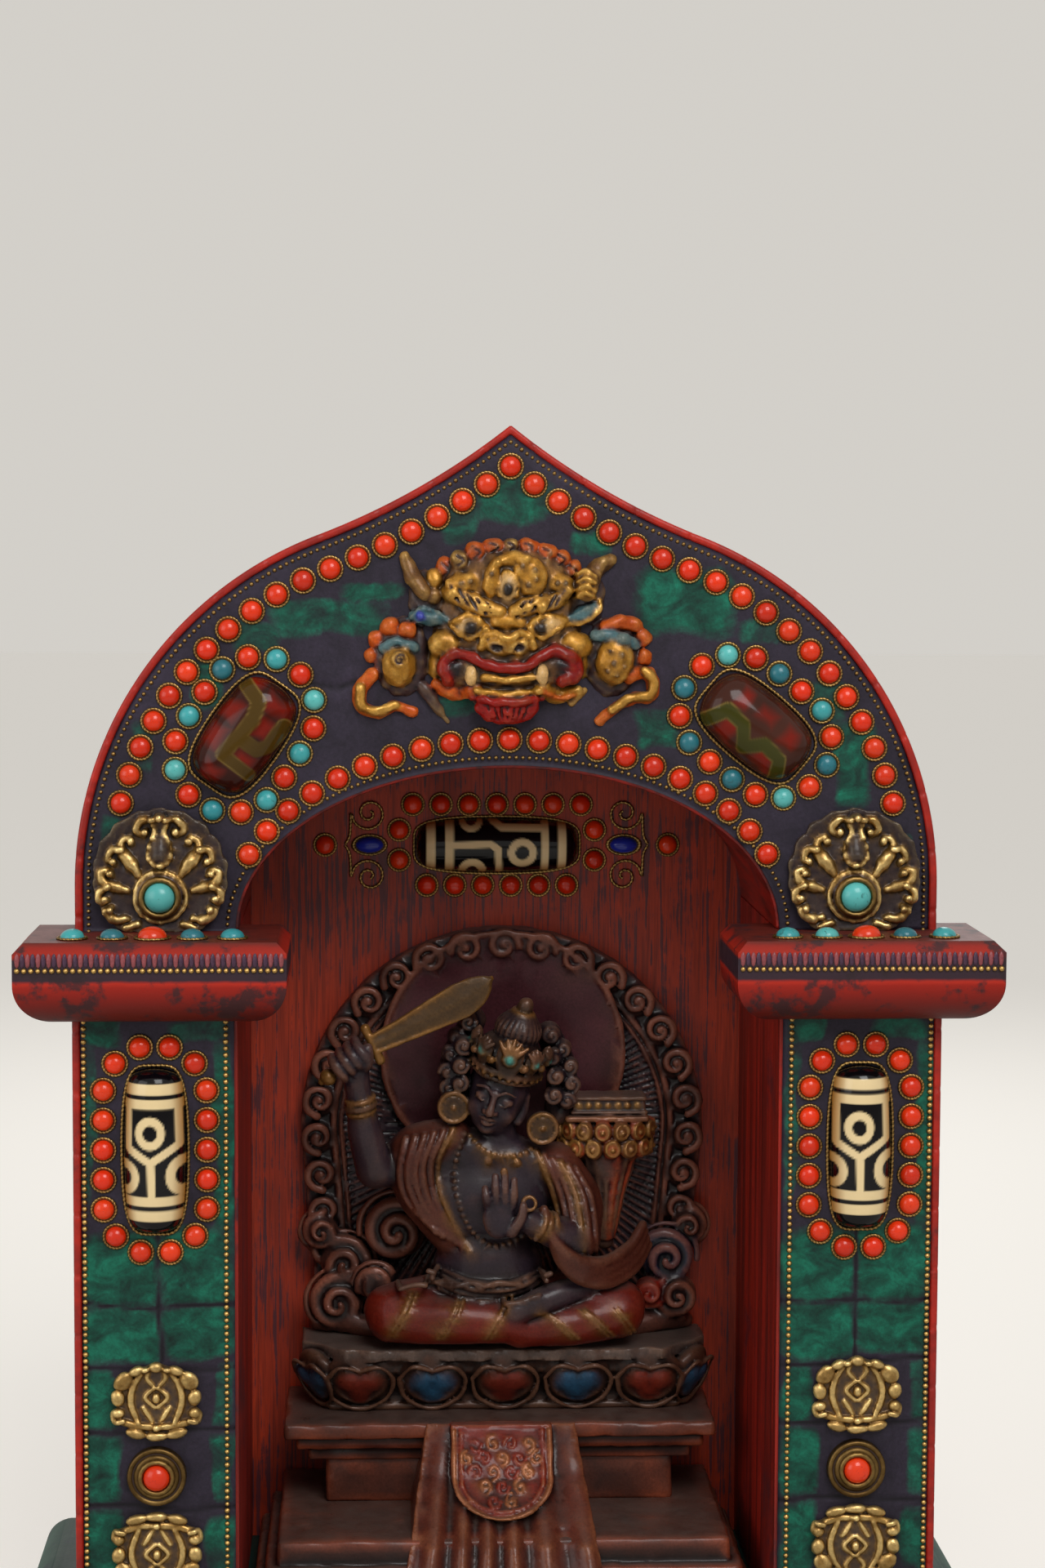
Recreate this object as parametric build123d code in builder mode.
"""Table-top Buddha niche: a jewelled ogee arch on two pillars, with a seated figure on a throne inside.

Millimetres. +Z is up, the front faces -Y, and the origin is on the table under the middle of the base.
"""

import os
from math import cos, pi, radians, sin

from build123d import *

# Base: a foot board under a moulding with a quarter-round top edge
base_width = 252.0
base_depth = 126.0
foot_height = 12.0
foot_inset = 5.0
moulding_height = 18.0
moulding_round = 12.0
moulding_bevel = 2.0

# Carcass: two posts, the back board and the thin stone facing on the front
opening_width = 133.0
pillar_width = 40.0
pillar_height = 157.0
niche_depth = 82.0
panel_thickness = 10.0
facing_thickness = 1.5
facing_margin = 0.8
facing_round = 0.6

# Caps: moulded blocks let into a notch at the front of each post
cap_height = 20.0
cap_side_overhang = 12.5
cap_front_overhang = 15.0
cap_seat_depth = 22.0
cap_round = 10.0
cap_bevel = 2.5

# Arch: round haunches that turn into an ogee point, over an elliptical vault
arch_setback = 9.0
arch_rise = 124.0
haunch_radius = 92.5
haunch_stilt = 10.7
haunch_degrees = 69.0
vault_rise = 40.0

# Stones: cabochons on flat seats, each a six-sided dome of two bevelled stages
stone_sides = 6
oval_sides = 10
barrel_steps = 8
barrel_sides = 8
girdle_height_share = 0.55
girdle_width_share = 0.86
table_width_share = 0.4
coral_radius = 2.8
coral_height = 2.4
rim_inset = 8.8
tip_drop_share = 1.14
rim_coral_count = 37
rim_start_degrees = 14.4
vault_ring_gap = 7.2
vault_ring_side_gap = 3.2
vault_coral_count = 21
vault_start_degrees = 23.5

# Agate barrels on the haunches, each in a ring of coral and turquoise
agate_length = 29.0
agate_diameter = 16.5
agate_end_share = 0.62
left_agate_x = -64.9
right_agate_x = 60.7
left_agate_lift = 48.3
right_agate_lift = 50.5
left_agate_degrees = -33.0
right_agate_degrees = 52.0
agate_ring_length = 40.5
agate_ring_width = 27.6
agate_ring_count = 16

# Medallions at the feet of the arch
medallion_diameter = 32.5
medallion_thickness = 1.6
medallion_x = 85.5
medallion_height = 11.3
medallion_cup_lift = 8.7
medallion_cup_diameter = 13.5
medallion_cup_height = 2.4
medallion_petal_shares = (
    (0, 0.50, 0.20, 0.36, 0),
    (0.24, 0.42, 0.13, 0.30, -32.0),
    (0.37, 0.21, 0.13, 0.28, -62.0),
    (0.40, -0.02, 0.12, 0.24, -92.0),
    (0.33, -0.20, 0.11, 0.18, -125.0),
)
medallion_petal_relief = 1.6
medallion_stone_radius = 4.2
medallion_stone_height = 2.6

# Monster mask in the middle of the arch
mask_width = 77.0
mask_height = 46.0
mask_relief = 12.0
mask_lift = 73.5
boss_skirt_share = 0.6
boss_shoulder_share = 0.86
boss_crown_share = 0.45
mask_boss_shares = (
    (0, -0.03, 0.50, 0.78, 0.45, 0),
    (0, 0.28, 0.17, 0.22, 0.75, 0),
    (0.035, 0.45, 0.062, 0.09, 0.55, 0),
    (0.115, 0.41, 0.062, 0.10, 0.55, 0),
    (0.185, 0.33, 0.062, 0.11, 0.50, 0),
    (0.065, 0.12, 0.075, 0.09, 0.95, 10.0),
    (0.130, 0.17, 0.120, 0.10, 0.85, 25.0),
    (0.122, 0.02, 0.100, 0.10, 0.70, 0),
    (0, -0.07, 0.150, 0.13, 1.0, 0),
    (0.190, -0.07, 0.110, 0.14, 0.80, -20.0),
    (0.095, -0.18, 0.170, 0.07, 0.85, 15.0),
    (0.205, -0.20, 0.080, 0.16, 0.80, 0),
    (0.165, -0.33, 0.130, 0.08, 0.70, -8.0),
    (0, -0.39, 0.210, 0.19, 0.75, 0),
    (0.245, 0.08, 0.130, 0.08, 0.45, 15.0),
    (0.235, 0.26, 0.060, 0.11, 0.50, 0),
    (0.285, 0.32, 0.045, 0.20, 0.40, -20.0),
    (0.345, -0.17, 0.095, 0.24, 0.70, 0),
    (0.365, 0.01, 0.090, 0.08, 0.50, 0),
    (0.420, -0.06, 0.055, 0.10, 0.45, 0),
    (0.440, -0.30, 0.060, 0.22, 0.45, -10.0),
    (0.365, -0.42, 0.180, 0.08, 0.50, 12.0),
)

# Pillar fronts: an eye bead in a coral ring above a split thunderbolt
eye_bead_length = 40.5
eye_bead_diameter = 14.5
eye_bead_end_share = 0.72
eye_bead_lift = 124.5
eye_ring_width = 25.2
eye_ring_length = 51.6
eye_ring_count = 18
thunderbolt_width = 22.0
thunderbolt_height = 19.5
thunderbolt_thickness = 2.4
thunderbolt_spread = 18.8
thunderbolt_centre_lift = 43.5
thunderbolt_shares = (
    (0, 0),
    (0.28, 0.01),
    (0.40, 0.06),
    (0.44, 0.15),
    (0.40, 0.23),
    (0.49, 0.30),
    (0.46, 0.42),
    (0.50, 0.50),
    (0.46, 0.61),
    (0.49, 0.71),
    (0.42, 0.80),
    (0.42, 0.92),
    (0.30, 0.98),
    (0.18, 0.90),
    (0.07, 1.0),
    (0, 0.97),
)
roundel_diameter = 14.4
roundel_thickness = 2.0
roundel_stone_radius = 3.7
roundel_stone_height = 2.6

# Cap stones: five along each cap, a coral in the middle
cap_stone_spacing = 9.6
cap_stone_setback = 9.5
cap_turquoise_radius = 3.3
cap_turquoise_height = 2.6
cap_coral_radius = 4.0
cap_coral_height = 4.2

# Jewel on the back board: an eye bead between lapis drops, in a coral border
jewel_lift = 14.0
jewel_bead_length = 44.0
jewel_bead_diameter = 14.5
jewel_row_gap = 11.0
jewel_row_spacing = 7.6
jewel_upper_count = 7
jewel_lower_count = 6
jewel_side_x = 26.5
jewel_side_gap = 4.1
jewel_end_x = 46.5
lapis_x = 34.5
lapis_length = 9.0
lapis_width = 5.0
lapis_height = 2.2

# Throne: a waist between stepped slabs, with a carved cloth down the front
throne_side_gap = 2.5
throne_base_depth = 68.0
throne_base_height = 19.0
throne_waist_width = 92.0
throne_waist_depth = 30.0
throne_waist_height = 12.0
throne_top_width = 113.5
throne_top_depth = 38.0
throne_top_height = 11.0
throne_step = 3.0
step_count = 3
cloth_head_width = 39.0
cloth_foot_width = 48.0
cloth_thickness = 3.0
cloth_tongue_width = 26.5
cloth_tongue_length = 24.0
cloth_tongue_relief = 1.8

# Statue: lotus seat, halo plate, figure, sword and the book on its lotus
statue_shift = 1.5
seat_width = 108.0
seat_foot_width = 94.0
seat_height = 18.0
seat_lip_height = 3.0
seat_depth = 25.0
seat_foot_depth = 16.0
seat_corner_share = 0.5
flat_share = 0.01
petal_count = 5
petal_width = 17.0
petal_height = 13.0
petal_relief = 3.0
petal_gap_share = 0.94
heart_share = 0.55
halo_width = 109.0
halo_top_gap = 8.0
halo_thickness = 6.0
halo_foot_width = 96.0
halo_rim_width = 9.0
halo_rim_relief = 1.5
halo_scroll_count = 23
halo_scroll_diameter = 9.2
halo_scroll_relief = 3.2
head_disc_diameter = 65.0
head_disc_lift = 93.5
head_disc_relief = 2.5
figure_width = 74.0
figure_height = 96.0
figure_depth = 30.0
limb_sides = 10
limb_dome_shares = ((0, 1), (0.55, 0.83), (0.9, 0.42))
joint_shares = {
    "left_hip": (-0.34, 0.36, 0.11),
    "right_hip": (0.34, 0.36, 0.11),
    "left_knee": (-0.72, 0.62, 0.092),
    "right_knee": (0.76, 0.62, 0.092),
    "left_foot": (0.46, 0.88, 0.068),
    "right_foot": (-0.16, 0.88, 0.115),
    "neck": (-0.06, 0.56, 0.55),
    "left_shoulder": (-0.52, 0.52, 0.525),
    "right_shoulder": (0.34, 0.52, 0.475),
    "left_elbow": (-0.90, 0.70, 0.485),
    "left_wrist": (-1.03, 0.86, 0.71),
    "raised_fist": (-1.08, 0.92, 0.815),
    "right_elbow": (0.46, 0.82, 0.31),
    "teaching_wrist": (0.12, 1.0, 0.395),
    "teaching_hand": (-0.04, 1.02, 0.48),
    "left_hair_top": (-0.31, 0.54, 0.85),
    "left_hair": (-0.32, 0.56, 0.71),
    "right_hair_top": (0.36, 0.54, 0.81),
    "right_hair": (0.36, 0.56, 0.68),
    "left_ear": (-0.31, 0.68, 0.665),
    "right_ear": (0.25, 0.66, 0.635),
}
limb_shares = (
    ("left_hip", "left_knee", 0.112, 0.110),
    ("right_hip", "right_knee", 0.112, 0.110),
    ("left_knee", "left_foot", 0.096, 0.068),
    ("right_knee", "right_foot", 0.096, 0.060),
    ("left_shoulder", "left_elbow", 0.075, 0.060),
    ("left_elbow", "left_wrist", 0.054, 0.042),
    ("left_wrist", "raised_fist", 0.036, 0.062),
    ("right_shoulder", "right_elbow", 0.078, 0.064),
    ("right_elbow", "teaching_wrist", 0.058, 0.044),
    ("teaching_wrist", "teaching_hand", 0.040, 0.056),
    ("left_hair_top", "left_hair", 0.066, 0.066),
    ("right_hair_top", "right_hair", 0.066, 0.066),
)
torso_shares = (
    (0.02, 0, 0.42, 0.66, 0.62),
    (0.14, 0, 0.44, 0.50, 0.54),
    (0.24, -0.04, 0.48, 0.38, 0.46),
    (0.40, -0.08, 0.58, 0.54, 0.58),
    (0.51, -0.09, 0.55, 0.56, 0.48),
    (0.57, -0.06, 0.56, 0.20, 0.30),
)
head_shares = (
    (0.55, -0.06, 0.060),
    (0.60, -0.06, 0.058),
    (0.65, -0.02, 0.092),
    (0.71, 0.01, 0.112),
    (0.78, 0.03, 0.116),
    (0.80, 0.04, 0.140),
    (0.87, 0.06, 0.146),
    (0.90, 0.08, 0.085),
    (0.95, 0.11, 0.060),
    (0.99, 0.13, 0.020),
)
head_depth_share = 0.58
ear_disc_share = 0.060
ear_thickness_share = 0.045
sword_length = 39.0
sword_width = 8.6
sword_thickness = 2.4
sword_rise_degrees = 26.3
blade_shares = (
    (-0.24, 0),
    (-0.24, 0.20),
    (-0.16, 0.20),
    (0.10, 0.20),
    (0.10, 0.56),
    (0.16, 0.56),
    (0.16, 0.34),
    (0.84, 0.50),
    (1.08, 0),
)
book_width = 19.0
book_depth = 9.0
book_height = 4.0
book_flower_diameter = 17.0
book_seat_share = 0.36
book_lotus_height = 13.0
book_stem_diameter = 5.5
book_stem_length = 14.0
book_x = 27.0
book_lift = 62.0

# Turns and halves
half_turn = 180.0
quarter_turn = 90.0
half_share = 0.5

# Levels and planes that the sizes above give
face_y = -(niche_depth + panel_thickness) / 2
core_y = face_y + facing_thickness
notch_y = face_y + cap_seat_depth
panel_y = face_y + niche_depth
arch_face_y = face_y + arch_setback
cap_front_y = face_y - cap_front_overhang
base_top = foot_height + moulding_height
cap_base = base_top + pillar_height
springing = cap_base + cap_height
apex = springing + arch_rise
pillar_x = (opening_width + pillar_width) / 2
outer_x = opening_width / 2 + pillar_width
throne_base_width = opening_width - 2 * throne_side_gap
throne_waist_base = base_top + throne_base_height
throne_top_base = throne_waist_base + throne_waist_height
throne_top = throne_top_base + throne_top_height
seat_top = throne_top + seat_height
halo_y = panel_y - halo_thickness
halo_height = springing - halo_top_gap - throne_top
disc_y = halo_y - head_disc_relief
sides = (("left", -1), ("right", 1))


def front_plane(y):
    """A plane that looks out of the front: its x is the object's X and its y is Z."""
    return Plane(origin=(0, y, 0), x_dir=(1, 0, 0), z_dir=(0, -1, 0))


def save(piece, name):
    """Labels a finished piece and writes it as its own file."""
    piece.part.label = name
    export_step(piece.part, f"parts/{name}.step")


# Outlines of the arch

def ogee_side(inset, start_degrees):
    """The right side of the arch line, set in from the edge: the round haunch, then the ogee to the point."""
    centre = (outer_x - haunch_radius, springing + haunch_stilt)
    tip = (0, apex - inset * tip_drop_share)
    haunch = CenterArc(centre, haunch_radius - inset, start_degrees, haunch_degrees - start_degrees)
    TangentArc(haunch @ 1, tip, tangent=haunch % 1)
    return haunch


def ogee_face(inset, foot):
    """The arch outline as a face, closed straight down to a foot level."""
    with BuildSketch() as outline:
        with BuildLine():
            haunch = ogee_side(inset, 0)
            Polyline(haunch @ 0, (outer_x - inset, foot), (0, foot))
            mirror(about=Plane.YZ)
        make_face()
    return outline.sketch


def vault_cut(margin):
    """Takes the elliptical vault out of the face being drawn."""
    with Locations((0, springing)):
        Ellipse(opening_width / 2 + margin, vault_rise + margin, mode=Mode.SUBTRACT)


# Stones

def on_plane(plane, centre, turn_degrees, corners, rise):
    """Corners drawn about a centre on a plane, turned and lifted off it, as points in space."""
    turn = radians(turn_degrees)
    points = []
    for x, z in corners:
        across = centre[0] + x * cos(turn) - z * sin(turn)
        up = centre[1] + x * sin(turn) + z * cos(turn)
        points.append(plane.from_local_coords(Vector(across, up, rise)))
    return points


def flat_sided(rings):
    """A solid with flat sides through rings of corners, where each ring is flat."""
    faces = [Face(Wire.make_polygon(rings[0])), Face(Wire.make_polygon(rings[-1]))]
    for low, high in zip(rings, rings[1:]):
        for i in range(len(low)):
            a, b, c, d = low[i - 1], low[i], high[i], high[i - 1]
            normal = (b - a).cross(d - a)
            if abs(normal.dot(c - a)) < flat_share * normal.length:
                faces.append(Face(Wire.make_polygon([a, b, c, d])))
            else:
                faces.append(Face(Wire.make_polygon([a, b, c])))
                faces.append(Face(Wire.make_polygon([a, c, d])))
    return Solid(Shell(faces))


def polygon(radius, sides):
    """The corners of a regular polygon."""
    turns = [2 * pi * i / sides for i in range(sides)]
    return [(radius * cos(turn), radius * sin(turn)) for turn in turns]


def stone_field(plane, places, radius, height):
    """Six-sided domes on a plane, one at each place."""
    levels = ((0, 1), (girdle_height_share, girdle_width_share), (1, table_width_share))
    corners = polygon(radius, stone_sides)
    with BuildPart() as field:
        for place in places:
            centre = (Vector(place).X, Vector(place).Y)
            rings = []
            for rise, spread in levels:
                level = [(x * spread, z * spread) for x, z in corners]
                rings.append(on_plane(plane, centre, 0, level, height * rise))
            add(flat_sided(rings))
    return field


def barrel(plane, centre, length, diameter, end_share, lean_degrees):
    """Half of a barrel bead lying on a plane, its axis turned from upright by the lean."""
    stations = [2 * i / barrel_steps - 1 for i in range(barrel_steps + 1)]
    turns = [pi * i / barrel_sides for i in range(barrel_sides + 1)]
    lean = radians(lean_degrees)
    rings = []
    for station in stations:
        radius = diameter / 2 * (1 - (1 - end_share) * station * station)
        run = length / 2 * station
        ring = []
        for turn in turns:
            across = centre[0] + radius * cos(turn) * cos(lean) - run * sin(lean)
            up = centre[1] + radius * cos(turn) * sin(lean) + run * cos(lean)
            ring.append(plane.from_local_coords(Vector(across, up, radius * sin(turn))))
        rings.append(ring)
    with BuildPart() as bead:
        add(flat_sided(rings))
    return bead


def oval(width, height):
    """The corners of a many-sided oval."""
    turns = [2 * pi * (i + half_share) / oval_sides for i in range(oval_sides)]
    return [(width / 2 * cos(turn), height / 2 * sin(turn)) for turn in turns]


def boss(plane, centre, width, height, relief, turn_degrees=0):
    """An oval knob in relief: a steep skirt under a bevelled crown."""
    levels = ((0, 1), (boss_skirt_share, boss_shoulder_share), (1, boss_crown_share))
    rings = []
    for rise, spread in levels:
        rings.append(on_plane(plane, centre, turn_degrees, oval(width * spread, height * spread), relief * rise))
    return flat_sided(rings)


def slot_places(centre, width, length, count, lean_degrees):
    """Evenly spaced places round a slot-shaped ring that leans from upright, with a gap at the top."""
    radius = width / 2
    straight = length - width
    quarter = pi * radius / 2
    around = 2 * (2 * quarter + straight)
    right = []
    for i in range(count // 2):
        run = (i + half_share) / count * around
        if run < quarter:
            turn = run / radius
            x, z = radius * sin(turn), straight / 2 + radius * cos(turn)
        elif run < quarter + straight:
            x, z = radius, straight / 2 - (run - quarter)
        else:
            turn = (run - quarter - straight) / radius
            x, z = radius * cos(turn), -straight / 2 - radius * sin(turn)
        right.append((x, z))
    left = [(-x, z) for x, z in reversed(right)]
    lean = radians(lean_degrees)
    return [
        (centre[0] + x * cos(lean) - z * sin(lean), centre[1] + x * sin(lean) + z * cos(lean))
        for x, z in right + left
    ]


os.makedirs("parts", exist_ok=True)

# Base

with BuildPart() as base_foot:
    with BuildSketch():
        Rectangle(base_width - 2 * foot_inset, base_depth - 2 * foot_inset)
    extrude(amount=foot_height)
save(base_foot, "base_foot")

with BuildPart() as base_moulding:
    with BuildSketch(Plane.XY.offset(foot_height)):
        Rectangle(base_width, base_depth)
    extrude(amount=moulding_height)
    fillet(base_moulding.faces().sort_by(Axis.Z)[-1].edges(), moulding_round)
    chamfer(base_moulding.faces().sort_by(Axis.Z)[0].edges(), moulding_bevel)
save(base_moulding, "base_moulding")

# Posts, their facings and the caps

for name, side in sides:
    with BuildPart() as pillar:
        with BuildSketch(Plane.YZ.offset(side * pillar_x - pillar_width / 2)):
            with BuildLine():
                Polyline(
                    (core_y, base_top),
                    (panel_y, base_top),
                    (panel_y, springing),
                    (notch_y, springing),
                    (notch_y, cap_base),
                    (core_y, cap_base),
                    close=True,
                )
            make_face()
        extrude(amount=pillar_width)
    save(pillar, f"{name}_pillar")

    with BuildPart() as facing:
        with BuildSketch(front_plane(core_y)):
            with Locations((side * pillar_x, base_top + pillar_height / 2)):
                Rectangle(pillar_width - 2 * facing_margin, pillar_height)
        extrude(amount=facing_thickness)
        fillet(facing.faces().sort_by(Axis.Y)[0].edges().filter_by(Axis.Z), facing_round)
    save(facing, f"{name}_pillar_facing")

    with BuildPart() as cap:
        with BuildSketch(Plane.XY.offset(cap_base)):
            with Locations((side * pillar_x, (cap_front_y + notch_y) / 2)):
                Rectangle(pillar_width + 2 * cap_side_overhang, notch_y - cap_front_y)
        extrude(amount=cap_height)
        under = cap.faces().sort_by(Axis.Z)[0].edges().sort_by(Axis.Y)[:-1]
        fillet(under, cap_round)
        over = cap.faces().sort_by(Axis.Z)[-1].edges().sort_by(Axis.Y)[:-1]
        chamfer(over, cap_bevel)
    save(cap, f"{name}_cap")

# Arch, its facing and the back board

with BuildPart() as arch:
    with BuildSketch(front_plane(panel_y)):
        add(ogee_face(0, springing))
        vault_cut(0)
    extrude(amount=panel_y - arch_face_y - facing_thickness)
save(arch, "arch")

with BuildPart() as arch_facing:
    with BuildSketch(front_plane(arch_face_y + facing_thickness)):
        add(ogee_face(facing_margin, springing))
        vault_cut(facing_margin)
    extrude(amount=facing_thickness)
save(arch_facing, "arch_facing")

with BuildPart() as back_panel:
    with BuildSketch(front_plane(panel_y)):
        add(ogee_face(0, base_top))
    extrude(amount=-panel_thickness)
save(back_panel, "back_panel")

# Stones on the arch

arch_front = front_plane(arch_face_y)
with BuildLine() as rim:
    ogee_side(rim_inset, rim_start_degrees)
rim_line = rim.wire()
rim_steps = (rim_coral_count - 1) // 2
rim_right = [rim_line.position_at(i / rim_steps) for i in range(rim_steps + 1)]
rim_places = [(p.X, p.Y) for p in rim_right] + [(-p.X, p.Y) for p in rim_right if p.X > coral_radius]
save(stone_field(arch_front, rim_places, coral_radius, coral_height), "arch_rim_corals")

with BuildLine() as vault_ring:
    EllipticalCenterArc(
        (0, springing),
        opening_width / 2 + vault_ring_side_gap,
        vault_rise + vault_ring_gap,
        start_angle=vault_start_degrees,
        arc_size=half_turn - 2 * vault_start_degrees,
    )
vault_line = vault_ring.wire()
vault_places = [vault_line.position_at(i / (vault_coral_count - 1)) for i in range(vault_coral_count)]
save(stone_field(arch_front, vault_places, coral_radius, coral_height), "arch_vault_corals")

ring_corals = []
ring_turquoises = []
agates = (
    ("left", left_agate_x, left_agate_lift, left_agate_degrees),
    ("right", right_agate_x, right_agate_lift, right_agate_degrees),
)
for name, x, lift, lean in agates:
    centre = (x, springing + lift)
    save(barrel(arch_front, centre, agate_length, agate_diameter, agate_end_share, lean), f"{name}_agate_bead")
    ring = slot_places(centre, agate_ring_width, agate_ring_length, agate_ring_count, lean)
    ring_corals += ring[0::2]
    ring_turquoises += ring[1::2]
save(stone_field(arch_front, ring_corals, coral_radius, coral_height), "agate_ring_corals")
save(stone_field(arch_front, ring_turquoises, coral_radius, coral_height), "agate_ring_turquoises")

# Medallions and the mask on the arch

for name, side in sides:
    with BuildPart() as medallion:
        with BuildSketch(arch_front):
            with Locations((side * medallion_x, springing + medallion_height)):
                Circle(medallion_diameter / 2)
            with Locations((side * medallion_x, springing + medallion_diameter / 2)):
                Rectangle(medallion_diameter, medallion_diameter, mode=Mode.INTERSECT)
        extrude(amount=medallion_thickness)
        with BuildSketch(arch_front.offset(medallion_thickness)):
            with Locations((side * medallion_x, springing + medallion_cup_lift)):
                Circle(medallion_cup_diameter / 2)
        extrude(amount=medallion_cup_height)
        petal_plane = arch_front.offset(medallion_thickness)
        petals = []
        for x_share, z_share, width_share, length_share, turn in medallion_petal_shares:
            for mirrored in sorted({-1, 1} if x_share else {1}):
                place_x = side * medallion_x + mirrored * x_share * medallion_diameter
                place_z = springing + medallion_cup_lift + z_share * medallion_diameter
                size = (width_share * medallion_diameter, length_share * medallion_diameter)
                petals.append(boss(petal_plane, (place_x, place_z), *size, medallion_petal_relief, mirrored * turn))
        add(petals)
    save(medallion, f"{name}_medallion")

cup_top = arch_front.offset(medallion_thickness + medallion_cup_height)
cup_places = [(side * medallion_x, springing + medallion_cup_lift) for _, side in sides]
save(stone_field(cup_top, cup_places, medallion_stone_radius, medallion_stone_height), "medallion_turquoises")

mask_z = springing + mask_lift
mask_lumps = []
for x_share, z_share, width_share, height_share, relief_share, turn in mask_boss_shares:
    for mirrored in sorted({-1, 1} if x_share else {1}):
        place = (mirrored * x_share * mask_width, mask_z + z_share * mask_height)
        size = (width_share * mask_width, height_share * mask_height)
        mask_lumps.append(boss(arch_front, place, *size, relief_share * mask_relief, mirrored * turn))
with BuildPart() as mask:
    add(mask_lumps)
save(mask, "monster_mask")

# Eye beads, coral rings and thunderbolts on the pillar fronts

pillar_front = front_plane(face_y)
cap_stone_y = cap_front_y + cap_stone_setback
roundel_z = base_top + thunderbolt_centre_lift
for name, side in sides:
    centre = (side * pillar_x, base_top + eye_bead_lift)
    save(barrel(pillar_front, centre, eye_bead_length, eye_bead_diameter, eye_bead_end_share, 0), f"{name}_eye_bead")
    places = slot_places(centre, eye_ring_width, eye_ring_length, eye_ring_count, 0)
    save(stone_field(pillar_front, places, coral_radius, coral_height), f"{name}_pillar_corals")
    for level, flip in (("upper", 1), ("lower", -1)):
        with BuildPart() as thunderbolt:
            with BuildSketch(pillar_front):
                with BuildLine():
                    right = [(x * thunderbolt_width, z * thunderbolt_height) for x, z in thunderbolt_shares]
                    left = [(-x, z) for x, z in reversed(right) if x]
                    foot_z = roundel_z + flip * (thunderbolt_spread - thunderbolt_height / 2)
                    Polyline([(side * pillar_x + x, foot_z + flip * z) for x, z in right + left], close=True)
                make_face()
            extrude(amount=thunderbolt_thickness)
        save(thunderbolt, f"{name}_{level}_thunderbolt")

roundel_places = [(side * pillar_x, roundel_z) for _, side in sides]
with BuildPart() as roundels:
    with BuildSketch(pillar_front):
        with Locations(*roundel_places):
            Circle(roundel_diameter / 2)
    extrude(amount=roundel_thickness)
save(roundels, "thunderbolt_roundels")
roundel_top = pillar_front.offset(roundel_thickness)
save(stone_field(roundel_top, roundel_places, roundel_stone_radius, roundel_stone_height), "roundel_corals")

# Stones along the caps

cap_top = Plane.XY.offset(springing)
cap_offsets = [i * cap_stone_spacing for i in (-2, -1, 1, 2)]
cap_blues = [(side * pillar_x + x, cap_stone_y) for _, side in sides for x in cap_offsets]
save(stone_field(cap_top, cap_blues, cap_turquoise_radius, cap_turquoise_height), "cap_turquoises")
cap_reds = [(side * pillar_x, cap_stone_y) for _, side in sides]
save(stone_field(cap_top, cap_reds, cap_coral_radius, cap_coral_height), "cap_corals")

# Jewel on the back board

panel_front = front_plane(panel_y)
jewel_z = springing + jewel_lift
save(barrel(panel_front, (0, jewel_z), jewel_bead_length, jewel_bead_diameter, eye_bead_end_share, quarter_turn),
     "panel_eye_bead")
jewel_places = []
for count, level in ((jewel_upper_count, 1), (jewel_lower_count, -1)):
    for i in range(count):
        jewel_places.append(((i - (count - 1) / 2) * jewel_row_spacing, jewel_z + level * jewel_row_gap))
for _, side in sides:
    jewel_places.append((side * jewel_side_x, jewel_z + jewel_side_gap))
    jewel_places.append((side * jewel_side_x, jewel_z - jewel_side_gap))
    jewel_places.append((side * jewel_end_x, jewel_z))
save(stone_field(panel_front, jewel_places, coral_radius, coral_height), "panel_corals")
with BuildPart() as lapis:
    for _, side in sides:
        add(boss(panel_front, (side * lapis_x, jewel_z), lapis_length, lapis_width, lapis_height))
save(lapis, "panel_lapis")

# Throne


def stepped_slab(width, depth, base, height, widest_first):
    """Thin boards in steps, all flush with the back board."""
    board = height / step_count
    with BuildPart() as slab:
        for i in range(step_count):
            inset = throne_step * (i if widest_first else step_count - 1 - i)
            with BuildSketch(Plane.XY.offset(base + i * board)):
                with Locations((0, panel_y - (depth - inset) / 2)):
                    Rectangle(width - 2 * inset, depth - inset)
            extrude(amount=board)
    return slab


save(stepped_slab(throne_base_width, throne_base_depth, base_top, throne_base_height, True), "throne_base")

with BuildPart() as throne_waist:
    with BuildSketch(Plane.XY.offset(throne_waist_base)):
        with Locations((0, panel_y - throne_waist_depth / 2)):
            Rectangle(throne_waist_width, throne_waist_depth)
    extrude(amount=throne_waist_height)
save(throne_waist, "throne_waist")

throne_slab = stepped_slab(throne_top_width, throne_top_depth, throne_top_base, throne_top_height, False)
save(throne_slab, "throne_top")

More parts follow.
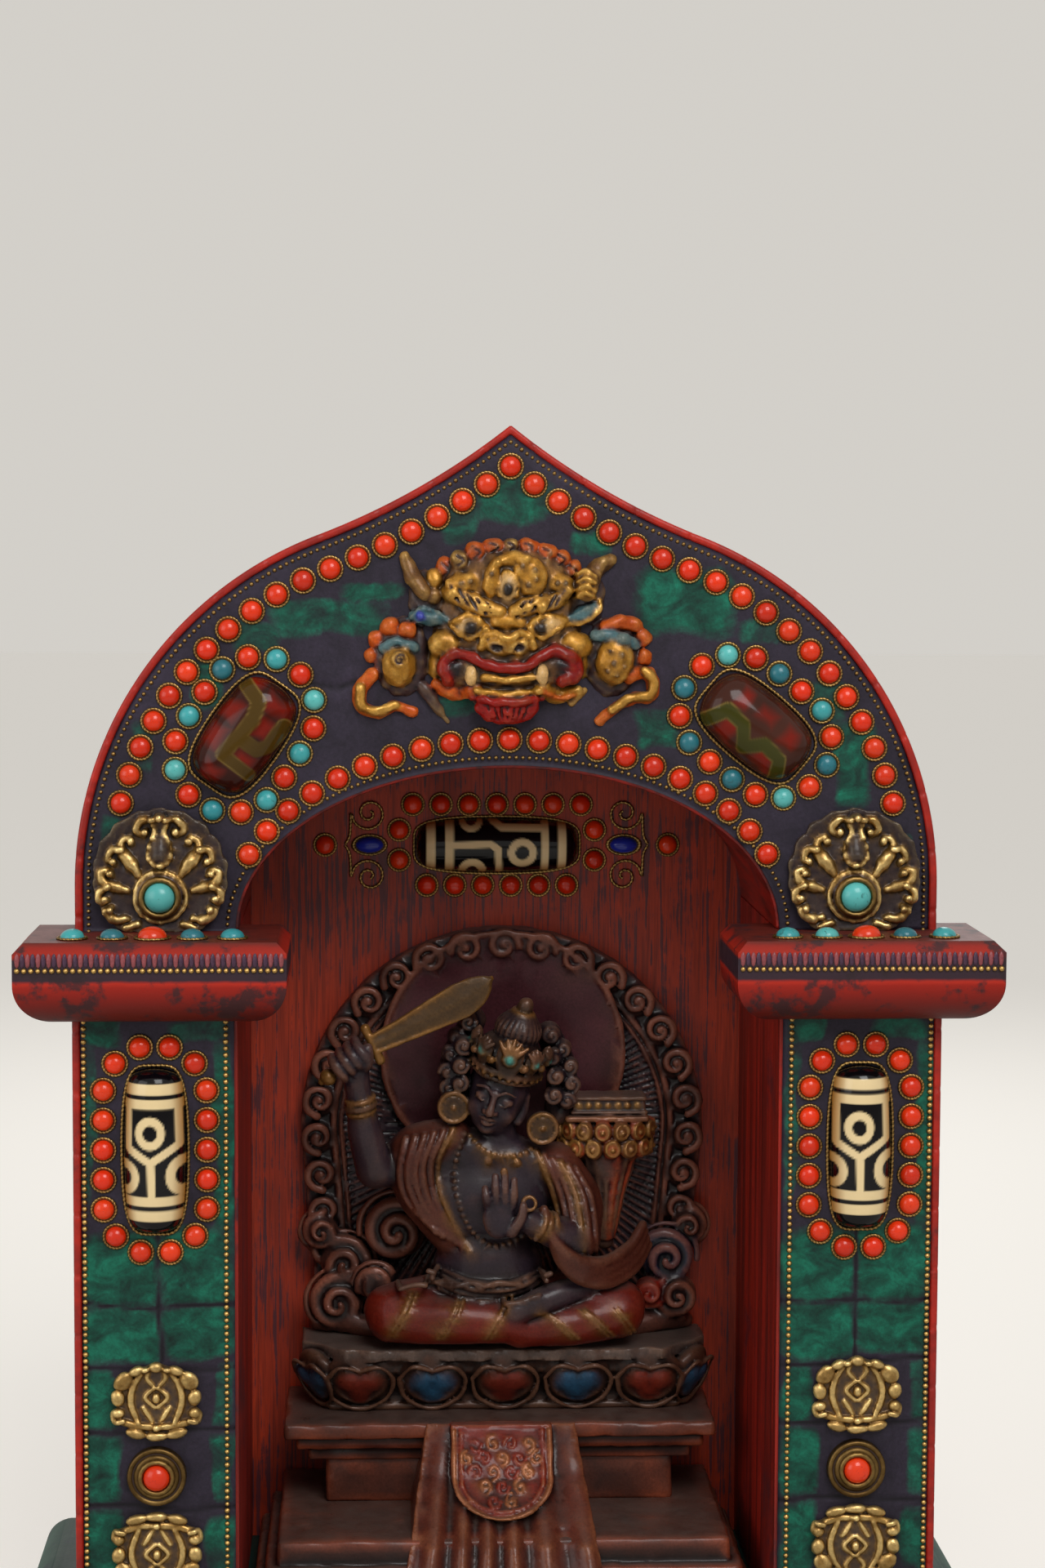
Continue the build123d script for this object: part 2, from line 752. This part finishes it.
waist_front = panel_y - throne_waist_depth
top_front = panel_y - throne_top_depth
base_shelf_y = panel_y - throne_base_depth + (step_count - 1) * throne_step
with BuildPart() as throne_cloth:
    with BuildSketch(Plane.YZ.offset(-cloth_foot_width / 2)):
        with BuildLine():
            Polyline(
                (waist_front, throne_waist_base),
                (waist_front, throne_top),
                (top_front - cloth_thickness, throne_top),
                (base_shelf_y + cloth_thickness, throne_waist_base),
                close=True,
            )
        make_face()
    extrude(amount=cloth_foot_width)
    with BuildSketch(front_plane(waist_front)):
        with BuildLine():
            Polyline(
                (-cloth_foot_width / 2, throne_waist_base),
                (cloth_foot_width / 2, throne_waist_base),
                (cloth_head_width / 2, throne_top),
                (-cloth_head_width / 2, throne_top),
                close=True,
            )
        make_face()
    extrude(amount=throne_base_depth, mode=Mode.INTERSECT)
    add(throne_slab.part, mode=Mode.SUBTRACT)
    slope = throne_cloth.faces().filter_by(GeomType.PLANE).sort_by(SortBy.AREA)
    slope = [face for face in slope if face.normal_at().Y < 0 < face.normal_at().Z][-1]
    slope_plane = Plane(origin=slope.center(), x_dir=(1, 0, 0), z_dir=slope.normal_at())
    add(boss(slope_plane, (0, 0), cloth_tongue_width, cloth_tongue_length, cloth_tongue_relief))
save(throne_cloth, "throne_cloth")

# Lotus seat, with petals on the slanted front


def seat_plan(width, depth, level):
    """The plan of the seat at one level: straight at the back, rounded at the front corners."""
    with BuildSketch(Plane.XY.offset(level)) as plan:
        with Locations((statue_shift, halo_y - depth / 2)):
            Rectangle(width, depth)
        front_corners = plan.vertices().group_by(Axis.Y)[0]
        chamfer(front_corners, depth * seat_corner_share)
    return plan.sketch


with BuildPart() as lotus_seat:
    foot_plan = seat_plan(seat_foot_width, seat_foot_depth, throne_top)
    lip_plan = seat_plan(seat_width, seat_depth, seat_top - seat_lip_height)
    loft(foot_plan.faces() + lip_plan.faces(), ruled=True)
    extrude(lip_plan, amount=seat_lip_height)
    slants = [face for face in lotus_seat.faces() if face.normal_at().Z < 0 and face.normal_at().Y < 0]
    petals = []
    for slant in slants:
        across = Vector(0, 0, 1).cross(slant.normal_at())
        slant_plane = Plane(origin=slant.center(), x_dir=across, z_dir=slant.normal_at())
        count = petal_count if abs(slant.normal_at().X) < flat_share else 1
        for i in range(count):
            x = (i - (count - 1) / 2) * petal_width
            petals.append(boss(slant_plane, (x, 0), petal_width * petal_gap_share, petal_height, petal_relief / 2))
            heart_size = (petal_width * heart_share, petal_height * heart_share)
            petals.append(boss(slant_plane, (x, 0), *heart_size, petal_relief))
    add(petals)
save(lotus_seat, "lotus_seat")

# Halo plate behind the figure

halo_centre_z = throne_top + halo_height - halo_width / 2
head_z = throne_top + head_disc_lift


def halo_face(inset, foot):
    """A round-headed plate with sides that draw in to the foot."""
    half = halo_width / 2 - inset
    with BuildSketch() as plate:
        with BuildLine():
            top = CenterArc((statue_shift, halo_centre_z), half, 0, half_turn)
            Polyline(
                top @ 1,
                (statue_shift - halo_foot_width / 2 + inset, foot),
                (statue_shift + halo_foot_width / 2 - inset, foot),
                top @ 0,
            )
        make_face()
    return plate.sketch


with BuildPart() as halo:
    with BuildSketch(front_plane(panel_y)):
        add(halo_face(0, throne_top))
    extrude(amount=halo_thickness)
    with BuildSketch(front_plane(halo_y)):
        add(halo_face(0, seat_top))
        add(halo_face(halo_rim_width, seat_top), mode=Mode.SUBTRACT)
    extrude(amount=halo_rim_relief)
    with BuildSketch(front_plane(halo_y)):
        with Locations((statue_shift, head_z)):
            Circle(head_disc_diameter / 2)
    extrude(amount=head_disc_relief)
    with BuildSketch(mode=Mode.PRIVATE) as scroll_ring:
        add(halo_face(halo_rim_width / 2, seat_top))
    foot_edge = scroll_ring.edges().sort_by(Axis.Y)[0]
    scroll_edges = [edge for edge in scroll_ring.edges() if edge.center().Y > foot_edge.center().Y]
    scroll_line = Wire(scroll_edges)
    scroll_places = [scroll_line.position_at((i + half_share) / halo_scroll_count) for i in range(halo_scroll_count)]
    scroll_size = (halo_scroll_diameter, halo_scroll_diameter, halo_scroll_relief)
    add([boss(front_plane(halo_y), (place.X, place.Y), *scroll_size) for place in scroll_places])
save(halo, "halo")

# Figure


def spot(shares):
    """A point of the figure from shares of its half width, its depth and its height above the seat."""
    return Vector(
        statue_shift + shares[0] * figure_width / 2,
        halo_y - shares[1] * figure_depth,
        seat_top + shares[2] * figure_height,
    )


def limb(start, end, start_share, end_share):
    """A tapering limb between two points, with a rounded far end."""
    axis = end - start
    across = axis.cross(Vector(0, 1, 0)).normalized()
    radius = end_share * figure_width
    stations = [(start, start_share * figure_width)]
    for rise, spread in limb_dome_shares:
        stations.append((end + axis.normalized() * rise * radius, spread * radius))
    rings = []
    for middle, reach in stations:
        plane = Plane(origin=middle, x_dir=across, z_dir=axis)
        rings.append(on_plane(plane, (0, 0), 0, polygon(reach, limb_sides), 0))
    return flat_sided(rings)


def oval_stack(sections):
    """A body through level ovals, each given as a centre, a width and a depth."""
    rings = []
    for middle, width, depth in sections:
        rings.append(on_plane(Plane.XY.offset(middle.Z), (middle.X, middle.Y), 0, oval(width, depth), 0))
    return flat_sided(rings)


fist = spot(joint_shares["raised_fist"])
sword_plane = front_plane(fist.Y + sword_thickness / 2)
with BuildPart() as sword:
    with BuildSketch(sword_plane):
        with Locations(Location((fist.X, fist.Z, 0), (0, 0, sword_rise_degrees))):
            with BuildSketch(mode=Mode.PRIVATE) as blade:
                with BuildLine():
                    upper = [(x * sword_length, z * sword_width) for x, z in blade_shares]
                    lower = [(x, -z) for x, z in reversed(upper) if z]
                    Polyline(upper + lower, close=True)
                make_face()
            add(blade.sketch)
    extrude(amount=sword_thickness)
save(sword, "sword")

with BuildPart() as figure:
    add(oval_stack([
        (spot((x, y, z)), width * figure_width, depth * figure_depth) for z, x, y, width, depth in torso_shares
    ]))
    add(oval_stack([
        (spot((x, head_depth_share, z)), 2 * r * figure_width, 2 * r * figure_width) for z, x, r in head_shares
    ]))
    add([limb(spot(joint_shares[a]), spot(joint_shares[b]), *radii) for a, b, *radii in limb_shares])
    for ear in ("left_ear", "right_ear"):
        with BuildSketch(Plane(origin=spot(joint_shares[ear]), x_dir=(1, 0, 0), z_dir=(0, -1, 0))):
            RegularPolygon(ear_disc_share * figure_width, limb_sides)
        extrude(amount=ear_thickness_share * figure_width, both=True)
    with Locations((statue_shift, halo_y, seat_top - figure_height / 2)):
        Box(base_width, base_depth, figure_height, mode=Mode.SUBTRACT)
    add(sword.part, mode=Mode.SUBTRACT)
save(figure, "figure")

# Book on a lotus at the shoulder, its back against the halo

with BuildPart() as sutra_lotus:
    book_base = seat_top + book_lift
    with Locations((statue_shift + book_x, disc_y - book_flower_diameter * book_seat_share, 0)):
        with Locations((0, 0, book_base - book_lotus_height / 2)):
            Cone(book_stem_diameter / 2, book_flower_diameter / 2, book_lotus_height)
        with Locations((0, 0, book_base - book_lotus_height - book_stem_length / 2)):
            Cylinder(book_stem_diameter / 2, book_stem_length)
        with Locations((0, 0, book_base + book_height / 2)):
            Box(book_width, book_depth, book_height)
    with Locations((statue_shift + book_x, disc_y + base_depth / 2, book_base)):
        Box(base_width, base_depth, figure_height, mode=Mode.SUBTRACT)
save(sutra_lotus, "sutra_lotus")
